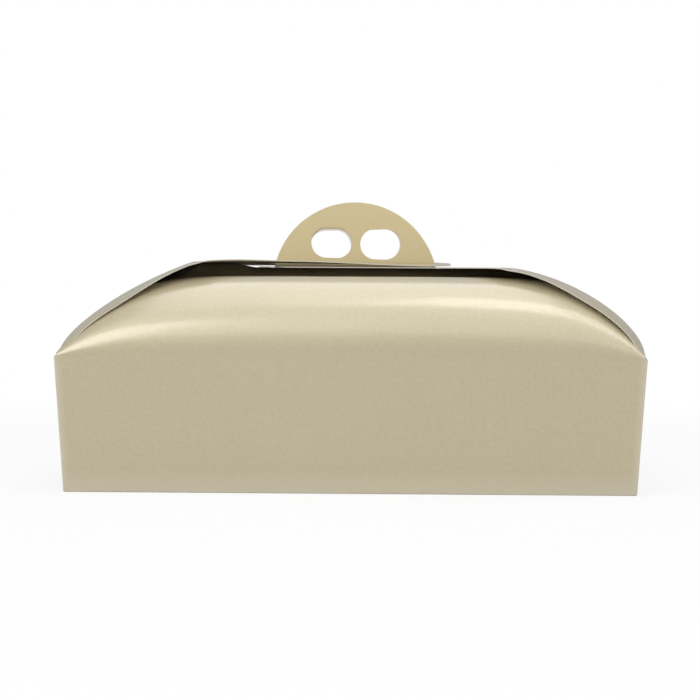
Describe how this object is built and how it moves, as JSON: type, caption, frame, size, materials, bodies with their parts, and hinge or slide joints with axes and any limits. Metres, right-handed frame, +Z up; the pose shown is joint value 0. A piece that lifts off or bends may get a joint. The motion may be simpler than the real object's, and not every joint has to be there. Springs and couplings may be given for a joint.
{
  "type": "cake carrying box",
  "caption": "Folded board box for carrying a cake, with bowed front and back panels, slotted end flaps and a half-disc handle.",
  "frame": {"origin": "middle of the box's underside, on the surface that it stands on", "axes": "+X along the box to the right as seen from the front, +Y to the back, +Z up"},
  "size_m": [0.3901, 0.28, 0.1954],
  "materials": {
    "coated_board": "satin pale gold outside, plain pale grey board inside"
  },
  "bodies": {
    "carton": {"carton": "coated_board"},
    "top_flap": {"top_end_flap": "coated_board"}
  },
  "joints": [
    {"name": "top_flap_hinge", "type": "hinge", "parent": "carton", "child": "top_flap", "pos_m": [-0.195, 0, 0.09015], "axis": [0, -1, 0], "range_deg": [0, 110]}
  ]
}
